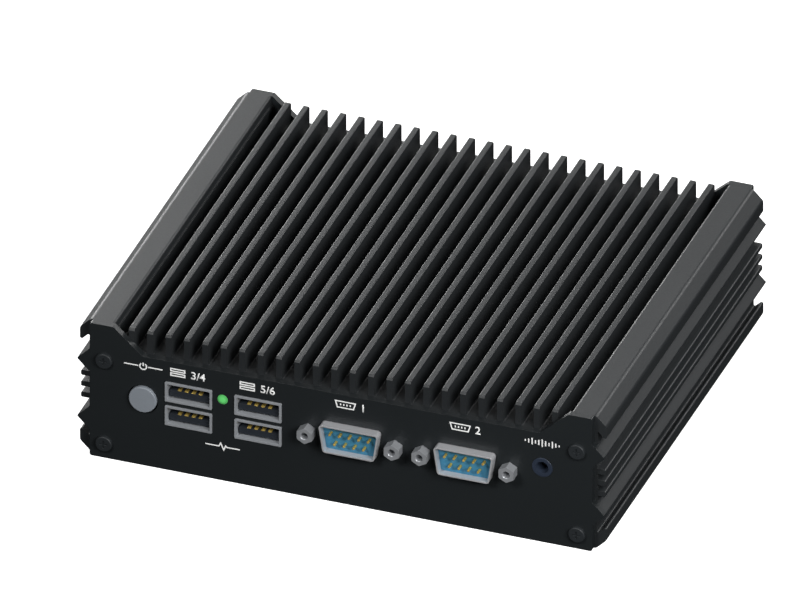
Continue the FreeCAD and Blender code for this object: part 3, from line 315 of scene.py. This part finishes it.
def milled_aluminium(tone):
    # Bare face-milled plate: bright and slightly hazy
    return grained("milled_aluminium", tone, spread=0.06, cloud=8, grain=0.5, rough=(0.35, 0.45),
                   bump=0.006, Metallic=1.0)


def turned_brass(tone):
    # Bare turned hexagon bar: yellow, with crisp bright flats
    return grained("turned_brass", tone, spread=0.08, cloud=2, grain=0.3, rough=(0.3, 0.4),
                   bump=0.004, Metallic=1.0)


def cell_steel(tone):
    # Pressed stainless can: cool and bright with a fine satin
    return grained("cell_steel", tone, spread=0.05, cloud=4, grain=0.4, rough=(0.28, 0.4),
                   bump=0.003, Metallic=1.0)


def screen_ink(tone, painted_glow):
    # Two-part ink: chalk white and matt, with a painted glow of its own light that keeps it white in shade
    return grained("screen_ink", tone, spread=0.03, cloud=3, grain=0.3, rough=(0.55, 0.65),
                   bump=0.003, edge=0.02, **{"Emission Color": WHITE, "Emission Strength": painted_glow})


def backdrop_paper(tone, strength):
    # Seamless white paper: it glows by itself, so it is white without strong light on the object
    return grained("backdrop_paper", tone, spread=0.01, cloud=300, grain=5, rough=(0.85, 0.95),
                   bump=0.01, **{"Emission Color": WHITE, "Emission Strength": strength})


def middle(node):
    low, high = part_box(node)
    return (low + high) / 2


class FANLESS_OT_finish_shell(bpy.types.Operator):
    """Give the extrusion, the end panels and their screws their finishes"""
    bl_idname = "fanless.finish_shell"
    bl_label = "Finish shell"

    def execute(self, context):
        tones = context.scene.fanless_shell
        dress(anodised_extrusion(tones.extrusion), "enclosure_body")
        dress(anodised_plate(tones.panel), "front_panel", "rear_panel")
        dress(black_oxide_steel(tones.screw), "front_panel_screws", "rear_panel_screws")
        return {"FINISHED"}


class FANLESS_OT_finish_ports(bpy.types.Operator):
    """Give the sockets and connectors their finishes"""
    bl_idname = "fanless.finish_ports"
    bl_label = "Finish ports"

    def execute(self, context):
        tones = context.scene.fanless_ports
        stacks = ["usb_stack_a", "usb_stack_b", "usb_stack_rear"]
        dsubs = ["com1", "com2", "video"]
        dress(tinned_steel(tones.port_steel), *[s + "_shell" for s in stacks], "lan_shell")
        dress(drawn_steel(tones.shell_steel), *[s + "_shell" for s in dsubs])
        dress(nickel_brass(tones.nickel), *[s + "_jackscrews" for s in dsubs], "audio_contact",
              "dc_inlet_pin", "spacer_screws", "storage_screw")
        dress(gold_flash(tones.gold), *[s + "_contacts" for s in stacks], "com1_pins", "com2_pins",
              "video_contacts", "lan_contacts")
        dress(moulded_polyester("tongue_moulding", tones.tongue), *[s + "_core" for s in stacks])
        dress(moulded_polyester("insulator_moulding", tones.insulator), *[s + "_insulator" for s in dsubs])
        dress(moulded_polyester("jack_moulding", tones.jack), "audio_jack")
        dress(moulded_polyester("black_moulding", tones.housing), "lan_insert", "dc_inlet_body",
              "status_led_holder", "memory_socket", "storage_socket", "cell_holder", "power_switch")
        return {"FINISHED"}


class FANLESS_OT_finish_controls(bpy.types.Operator):
    """Give the power button and the status lamp their finishes"""
    bl_idname = "fanless.finish_controls"
    bl_label = "Finish button and lamp"

    def execute(self, context):
        tones = context.scene.fanless_ports
        # A polished tool leaves the cap smoother than the sockets
        dress(moulded_polyester("button_moulding", tones.button, rough=(0.3, 0.4)), "power_button")
        low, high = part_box("status_led")
        lamp = lamp_epoxy(tones.lamp, middle("status_led"), (high.x - low.x) / 2,
                          tones.lamp_middle, tones.lamp_rim)
        dress(lamp, "status_led")
        return {"FINISHED"}


class FANLESS_OT_finish_inside(bpy.types.Operator):
    """Give the boards and the parts on them their finishes"""
    bl_idname = "fanless.finish_inside"
    bl_label = "Finish inside"

    def execute(self, context):
        tones = context.scene.fanless_inside
        dress(solder_mask(tones.board), "main_board", "memory_module", "storage_module")
        dress(chip_epoxy(tones.chip), "processor", "power_chokes")
        dress(silicone_pad(tones.pad), "thermal_pad")
        dress(milled_aluminium(tones.aluminium), "heat_spreader")
        dress(turned_brass(tones.brass), "spreader_spacers", "storage_spacer")
        dress(cell_steel(tones.cell), "clock_cell")
        return {"FINISHED"}


# Printed marks


def arc(radius, start, end, count=33):
    """Points round a circle: the radius times the cosine and sine of evenly spaced angles."""
    turn = np.radians(np.linspace(start, end, count))
    return np.stack([radius * np.cos(turn), radius * np.sin(turn)], axis=1)


def power_lines(height, stroke):
    """Ring open at the top with a bar in the gap, and a lead to each side."""
    ring = (height - stroke) / 2
    half_gap = 35  # degrees to either side of the top
    near, far = 1.45 * ring, 2.4 * height
    return [arc(ring, 90 + half_gap, 450 - half_gap), [(0, ring * 0.1), (0, ring + stroke / 2)],
            [(-far, 0), (-near, 0)], [(near, 0), (far, 0)]]


def wave_lines(height, stroke):
    """Upright bars whose heights rise and fall, as a level meter shows sound."""
    shares = np.array([0.25, 0.55, 0.9, 0.45, 0.7, 1.0, 0.7, 0.45, 0.9, 0.55, 0.25])
    pitch = 2.7 * stroke
    places = (np.arange(len(shares)) - (len(shares) - 1) / 2) * pitch
    return [[(x, -h), (x, h)] for x, h in zip(places, shares * height / 2)]


def pulse_lines(height, stroke):
    """Level line with one beat in it, as a sign of life."""
    h = (height - stroke) / 2
    reach = 2.15 * height
    return [[(-reach, 0), (-1.1 * h, 0), (-0.55 * h, h), (0.35 * h, -h), (0.9 * h, 0.35 * h),
             (1.25 * h, 0), (reach, 0)]]


def stack_lines(height, stroke):
    """Two low frames, one above the other: a pair of sockets."""
    gap = 1.3 * stroke
    tall = (height - gap) / 2
    x, h = (1.9 * height - stroke) / 2, tall / 2 - stroke / 4
    return [[(-x, z - h), (x, z - h), (x, z + h), (-x, z + h), (-x, z - h)]
            for z in (-(tall + gap) / 2, (tall + gap) / 2)]


def trapezoid_lines(height, stroke):
    """Frame with slanted ends, wide side up, and a row of short pins in it."""
    top, foot, h = 1.25 * height, height, (height - stroke) / 2
    outline = [(-foot, -h), (foot, -h), (top, h), (-top, h), (-foot, -h)]
    pins = [[(x, -h * 0.3), (x, h * 0.3)] for x in np.linspace(-0.6, 0.6, 4) * height]
    return [outline] + pins


def stroke_grid(points, width):
    """Two rows of points, half the width to either side of a line.

    Each point moves along the mean of its neighbours' normals, lengthened by one over the cosine
    of half the turn, so the line keeps its width round a corner. The cosine stops at a least
    value, or a sharp corner would run out into a spike."""
    least_cosine = 0.4
    points = np.asarray(points, float)
    steps = np.diff(points, axis=0)
    steps /= np.linalg.norm(steps, axis=1)[:, None]
    normals = np.stack([-steps[:, 1], steps[:, 0]], axis=1)
    before = np.vstack([normals[:1], normals])
    after = np.vstack([normals, normals[-1:]])
    if np.allclose(points[0], points[-1]):
        before[0], after[-1] = normals[-1], normals[0]
    mean = before + after
    mean /= np.linalg.norm(mean, axis=1)[:, None]
    reach = width / 2 / np.clip((mean * before).sum(1), least_cosine, 1)[:, None]
    return np.stack([points + mean * reach, points - mean * reach])


def on_panel(flat, centre, film):
    """Flat points on the front panel: their x and y become x and z round the centre, and their y
    is the ink's face, which stands the film's height in front of the panel."""
    face = np.full(len(flat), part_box("front_panel")[0].y - film)
    return np.stack([flat[:, 0] + centre[0], face, flat[:, 1] + centre[1]], axis=1)


def mark_mesh(name, lines, width, centre, film):
    """Flat bands of ink on the front panel: each line of points becomes a grid of two rows."""
    corners, faces, start = [], [], 0
    for line in lines:
        grid = stroke_grid(line, width)
        count = grid.shape[1]
        index = start + np.arange(2 * count).reshape(2, count)
        corners.append(grid.reshape(-1, 2))
        faces.append(np.stack([index[1, :-1], index[1, 1:], index[0, 1:], index[0, :-1]], axis=1))
        start += 2 * count
    mesh = bpy.data.meshes.new(name)
    mesh.from_pydata(on_panel(np.vstack(corners), centre, film).tolist(), [], np.vstack(faces).tolist())
    mesh.update()
    return mesh


def digits_mesh(name, text, height, centre, film):
    """Numbers as a flat mesh on the front panel, with their middle at the centre."""
    curve = bpy.data.curves.new(name, "FONT")
    curve.body = text
    curve.size = height / DIGIT_SHARE
    curve.offset = height * DIGIT_WEIGHT
    curve.align_x = "CENTER"
    holder = bpy.data.objects.new(name + "_text", curve)
    bpy.context.scene.collection.objects.link(holder)
    bpy.context.view_layer.update()
    mesh = bpy.data.meshes.new_from_object(holder)
    bpy.data.objects.remove(holder)
    flat = np.zeros(len(mesh.vertices) * 3)
    mesh.vertices.foreach_get("co", flat)
    flat = flat.reshape(-1, 3)[:, :2]
    flat -= (flat.min(0) + flat.max(0)) / 2
    mesh.vertices.foreach_set("co", on_panel(flat, centre, film).ravel())
    mesh.update()
    mesh.name = name
    return mesh


def add_mark(name, mesh, film, ink):
    """A printed mark as a piece that rides with the chassis.

    The ink is a little thinner than its height above the panel, so their faces never coincide."""
    piece = bpy.data.objects.new(name, mesh)
    bpy.context.scene.collection.objects.link(piece)
    mesh.materials.append(ink)
    solid = piece.modifiers.new("ink_film", "SOLIDIFY")
    solid.thickness = 0.9 * film
    solid.offset = -1
    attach(piece, "chassis")


class FANLESS_OT_print_marks(bpy.types.Operator):
    """Print the pictograms and numbers on the front panel"""
    bl_idname = "fanless.print_marks"
    bl_label = "Print marks"

    def execute(self, context):
        settings = context.scene.fanless_print
        height, stroke, film = settings.height, settings.stroke, settings.film
        ink = screen_ink(settings.ink, settings.painted_glow)
        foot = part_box("front_panel")[0].z
        upper, lower = foot + settings.upper_row, foot + settings.lower_row
        # Name, shape, node that it belongs to, shift from the node's middle in heights, row
        marks = [
            ("mark_power", power_lines, "power_button", 0, upper),
            ("mark_audio", wave_lines, "audio_jack", 0, upper),
            ("mark_status", pulse_lines, "status_led", 0, lower),
            ("mark_bus_a", stack_lines, "usb_stack_a_shell", -1.35, upper),
            ("mark_bus_b", stack_lines, "usb_stack_b_shell", -1.35, upper),
            ("mark_serial_1", trapezoid_lines, "com1_shell", -0.75, upper),
            ("mark_serial_2", trapezoid_lines, "com2_shell", -0.75, upper),
        ]
        for name, lines, node, shift, row in marks:
            centre = (middle(node).x + shift * height, row)
            add_mark(name, mark_mesh(name, lines(height, stroke), stroke, centre, film), film, ink)
        # Name, numbers, node that they belong to, shift from the node's middle in heights
        numbers = [
            ("digits_bus_a", "3/4", "usb_stack_a_shell", 1.2),
            ("digits_bus_b", "5/6", "usb_stack_b_shell", 1.2),
            ("digits_serial_1", "1", "com1_shell", 1.45),
            ("digits_serial_2", "2", "com2_shell", 1.45),
        ]
        for name, text, node, shift in numbers:
            centre = (middle(node).x + shift * height, upper)
            add_mark(name, digits_mesh(name, text, height, centre, film), film, ink)
        return {"FINISHED"}


# Studio


def aimed(place, target):
    """Matrix of a light or camera that stands at the place and looks at the target, upright."""
    turn = (target - place).to_track_quat("-Z", "Y")
    return Matrix.Translation(place) @ turn.to_matrix().to_4x4()


def lay_floor(studio):
    """Flat square grid under the object: x and y run evenly from edge to edge and z is level."""
    count = 9
    line = np.linspace(-studio.floor_width / 2, studio.floor_width / 2, count)
    x, y = np.meshgrid(line, line, indexing="ij")
    place = np.stack([x, y, np.full_like(x, -FLOOR_GAP)], axis=-1).reshape(-1, 3)
    index = np.arange(count * count).reshape(count, count)
    quads = np.stack([index[:-1, :-1], index[1:, :-1], index[1:, 1:], index[:-1, 1:]], axis=-1)
    mesh = bpy.data.meshes.new("floor")
    mesh.from_pydata(place.tolist(), [], quads.reshape(-1, 4).tolist())
    mesh.materials.append(backdrop_paper(studio.floor, studio.floor_glow))
    floor = bpy.data.objects.new("floor", mesh)
    bpy.context.scene.collection.objects.link(floor)
    # The paper lights nothing, so the dark faces that look down on it stay dark
    floor.visible_diffuse = False
    floor.visible_glossy = False


def hang_softboxes(studio):
    """Softboxes aimed at the middle of the object.

    The main lights stand behind, where the upper faces mirror them towards the camera; the
    channels between the fins and all that faces forwards stay dark."""
    # Name, place, width and height in metres, power
    softboxes = [
        ("rear_softbox", (-0.75, 0.95, 0.62), 1.2, 0.6, studio.rear),
        ("key_softbox", (-0.6, 0.62, 0.27), 0.42, 0.26, studio.key),
        ("right_softbox", (0.52, 0.95, 0.75), 0.4, 0.4, studio.right),
        ("front_softbox", (-0.45, -0.95, 0.92), 0.35, 0.35, studio.front),
        ("fill_softbox", (0.4, -0.36, 0.32), 0.3, 0.25, studio.fill),
    ]
    for name, place, wide, tall, watts in softboxes:
        data = bpy.data.lights.new(name, "AREA")
        data.shape = "RECTANGLE"
        data.size, data.size_y, data.energy = wide, tall, watts
        light = bpy.data.objects.new(name, data)
        bpy.context.scene.collection.objects.link(light)
        light.matrix_world = aimed(Vector(place), cad_middle)
        light.visible_camera = False


def light_room(studio):
    """Dim even light from all sides, and colours that no film curve bends."""
    world = bpy.data.worlds.new("room")
    world.use_nodes = True
    world.node_tree.nodes.clear()
    room = add_node(world.node_tree, "ShaderNodeBackground", {"Color": WHITE, "Strength": studio.room})
    add_node(world.node_tree, "ShaderNodeOutputWorld", {"Surface": room.outputs["Background"]})
    bpy.context.scene.world = world
    bpy.context.scene.view_settings.view_transform = "Standard"


def set_camera(studio):
    """Parallel view from the right and above.

    Across and up are the picture's own directions. They shift the view from the object's middle,
    and the camera stands back along their cross product."""
    turn, tilt = studio.azimuth, studio.elevation
    across = Vector((math.cos(turn), math.sin(turn), 0))
    up = Vector((-math.sin(turn) * math.sin(tilt), math.cos(turn) * math.sin(tilt), math.cos(tilt)))
    target = cad_middle + studio.view_across * across + studio.view_up * up
    data = bpy.data.cameras.new("camera")
    data.type = "ORTHO"
    data.ortho_scale = studio.view_width
    data.clip_start, data.clip_end = 0.05, 20
    camera = bpy.data.objects.new("camera", data)
    bpy.context.scene.collection.objects.link(camera)
    camera.matrix_world = aimed(target + CAMERA_DISTANCE * across.cross(up), target)
    bpy.context.scene.camera = camera


class FANLESS_OT_build_studio(bpy.types.Operator):
    """Lay the floor, hang the lights and set up the camera"""
    bl_idname = "fanless.build_studio"
    bl_label = "Build studio"

    def execute(self, context):
        studio = context.scene.fanless_studio
        lay_floor(studio)
        hang_softboxes(studio)
        light_room(studio)
        set_camera(studio)
        return {"FINISHED"}


# Sidebar and registration


GROUPS = {"fanless_shell": ShellColours, "fanless_ports": PortColours, "fanless_inside": InsideColours,
          "fanless_print": PrintSettings, "fanless_studio": StudioSettings}
OPERATORS = (FANLESS_OT_finish_shell, FANLESS_OT_finish_ports, FANLESS_OT_finish_controls,
             FANLESS_OT_finish_inside, FANLESS_OT_print_marks, FANLESS_OT_build_studio)


class FANLESS_PT_panel(bpy.types.Panel):
    """Sizes, colours and building steps of the fanless computer"""
    bl_label = "Fanless Computer"
    bl_idname = "FANLESS_PT_panel"
    bl_space_type = "VIEW_3D"
    bl_region_type = "UI"
    bl_category = "Fanless Computer"

    def draw(self, context):
        for group, settings in GROUPS.items():
            box = self.layout.box()
            for name in settings.__annotations__:
                box.prop(getattr(context.scene, group), name)
        for operator in OPERATORS:
            self.layout.operator(operator.bl_idname)


def register():
    for name, group in GROUPS.items():
        bpy.utils.register_class(group)
        setattr(bpy.types.Scene, name, bpy.props.PointerProperty(type=group))
    for item in OPERATORS + (FANLESS_PT_panel,):
        bpy.utils.register_class(item)


def unregister():
    for item in (FANLESS_PT_panel,) + OPERATORS[::-1]:
        bpy.utils.unregister_class(item)
    for name, group in GROUPS.items():
        delattr(bpy.types.Scene, name)
        bpy.utils.unregister_class(group)


def main():
    register()
    bpy.ops.fanless.finish_shell()
    bpy.ops.fanless.finish_ports()
    bpy.ops.fanless.finish_controls()
    bpy.ops.fanless.finish_inside()
    bpy.ops.fanless.print_marks()
    bpy.ops.fanless.build_studio()


if __name__ == "__main__":
    main()
